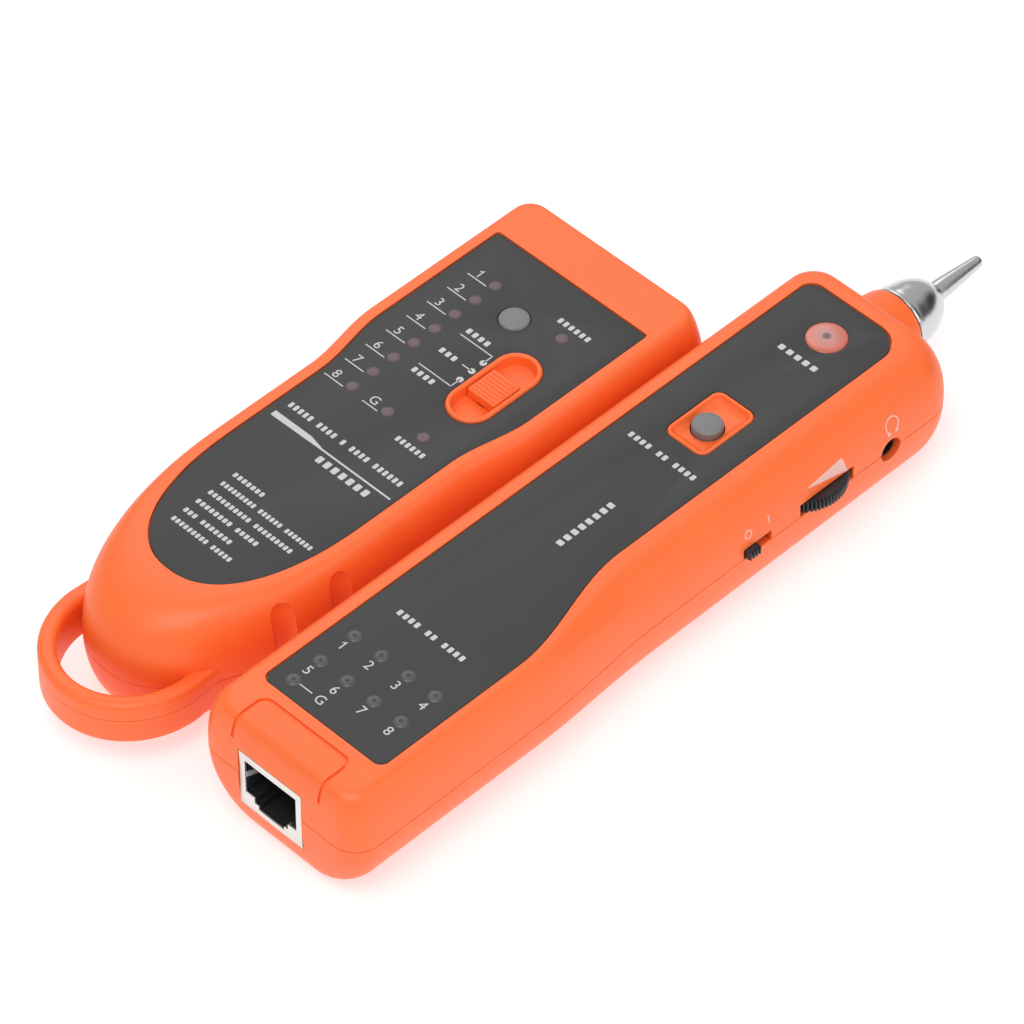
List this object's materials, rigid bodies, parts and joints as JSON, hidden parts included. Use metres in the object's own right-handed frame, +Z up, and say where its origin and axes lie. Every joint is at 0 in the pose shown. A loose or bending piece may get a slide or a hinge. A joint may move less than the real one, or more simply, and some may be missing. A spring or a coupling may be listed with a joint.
{
  "type": "tone probe kit",
  "caption": "Cable tracer kit: an egg-ended tone emitter with a hang loop and a receiver with a metal probe, lying side by side, with push buttons, switches, jacks and battery doors.",
  "frame": {"origin": "middle of the kit's footprint, on the surface it lies on", "axes": "+X from the sockets and hang loop towards the probe, +Y from the receiver towards the emitter, +Z up out of the label faces"},
  "size_m": [0.1996, 0.092, 0.0276],
  "materials": {
    "case": "fine satin texture",
    "label": "satin membrane film with white print",
    "button": "satin",
    "led_lens": "clear tinted resin",
    "power_lens": "clear pinkish resin",
    "board": "solder mask",
    "probe_metal": "polished",
    "jack_shield": "tin-plated sheet",
    "switch_can": "tin-plated sheet",
    "screw_steel": "zinc-plated",
    "battery": "plain printed jacket",
    "black_plastic": "moulded"
  },
  "bodies": {
    "receiver": {"rx_upper_case": "case", "rx_lower_case": "case", "rx_face_label": "label", "rx_probe_cone": "probe_metal", "rx_probe_needle": "probe_metal", "rx_tact_switch": "black_plastic", "rx_power_lens": "power_lens", "rx_power_led": "led_lens", "rx_led_1": "led_lens", "rx_led_2": "led_lens", "rx_led_3": "led_lens", "rx_led_4": "led_lens", "rx_led_5": "led_lens", "rx_led_6": "led_lens", "rx_led_7": "led_lens", "rx_led_8": "led_lens", "rx_led_g": "led_lens", "rx_volume_pot": "black_plastic", "rx_power_switch_body": "switch_can", "rx_earphone_jack": "black_plastic", "rx_rj45_shield": "jack_shield", "rx_rj45_insert": "black_plastic", "rx_led_board": "board", "rx_main_board": "board", "rx_speaker": "black_plastic", "rx_battery": "battery", "rx_battery_snap": "black_plastic", "rx_screw_1": "screw_steel", "rx_screw_2": "screw_steel"},
    "rx_test_button_body": {"rx_test_button": "button"},
    "rx_volume_wheel_body": {"rx_volume_wheel": "black_plastic"},
    "rx_power_slider_body": {"rx_power_slider": "black_plastic"},
    "rx_battery_door_body": {"rx_battery_door": "case"},
    "emitter": {"tx_upper_case": "case", "tx_lower_case": "case", "tx_face_label": "label", "tx_mode_switch_body": "switch_can", "tx_tact_switch": "black_plastic", "tx_led_1": "led_lens", "tx_led_2": "led_lens", "tx_led_3": "led_lens", "tx_led_4": "led_lens", "tx_led_5": "led_lens", "tx_led_6": "led_lens", "tx_led_7": "led_lens", "tx_led_8": "led_lens", "tx_led_g": "led_lens", "tx_led_verify": "led_lens", "tx_led_status": "led_lens", "tx_rj45_jack": "jack_shield", "tx_rj11_jack": "black_plastic", "tx_circuit_board": "board", "tx_battery": "battery", "tx_battery_snap": "black_plastic", "tx_screw_1": "screw_steel", "tx_screw_2": "screw_steel"},
    "tx_test_button_body": {"tx_test_button": "button"},
    "tx_mode_slider_body": {"tx_mode_slider": "case"},
    "tx_battery_door_body": {"tx_battery_door": "case"}
  },
  "joints": [
    {"name": "rx_test_press", "type": "slide", "parent": "receiver", "child": "rx_test_button_body", "axis": [0, 0, -1], "range_m": [0, 0.0008], "stiffness_N_per_m": 200},
    {"name": "rx_volume_turn", "type": "hinge", "parent": "receiver", "child": "rx_volume_wheel_body", "pos_m": [0.0332, -0.0368, 0.0165], "axis": [0, 0, 1], "range_deg": [-135, 135]},
    {"name": "rx_power_slide", "type": "slide", "parent": "receiver", "child": "rx_power_slider_body", "axis": [1, 0, 0], "range_m": [0, 0.0038]},
    {"name": "rx_battery_door_slide", "type": "slide", "parent": "receiver", "child": "rx_battery_door_body", "axis": [1, 0, 0], "range_m": [0, 0.004]},
    {"name": "kit_part", "type": "slide", "parent": "receiver", "child": "emitter", "axis": [0, 1, 0], "range_m": [0, 0.08]},
    {"name": "tx_test_press", "type": "slide", "parent": "emitter", "child": "tx_test_button_body", "axis": [0, 0, -1], "range_m": [0, 0.0008], "stiffness_N_per_m": 200},
    {"name": "tx_mode_slide", "type": "slide", "parent": "emitter", "child": "tx_mode_slider_body", "axis": [1, 0, 0], "range_m": [-0.003, 0.003]},
    {"name": "tx_battery_door_slide", "type": "slide", "parent": "emitter", "child": "tx_battery_door_body", "axis": [1, 0, 0], "range_m": [0, 0.004]}
  ]
}
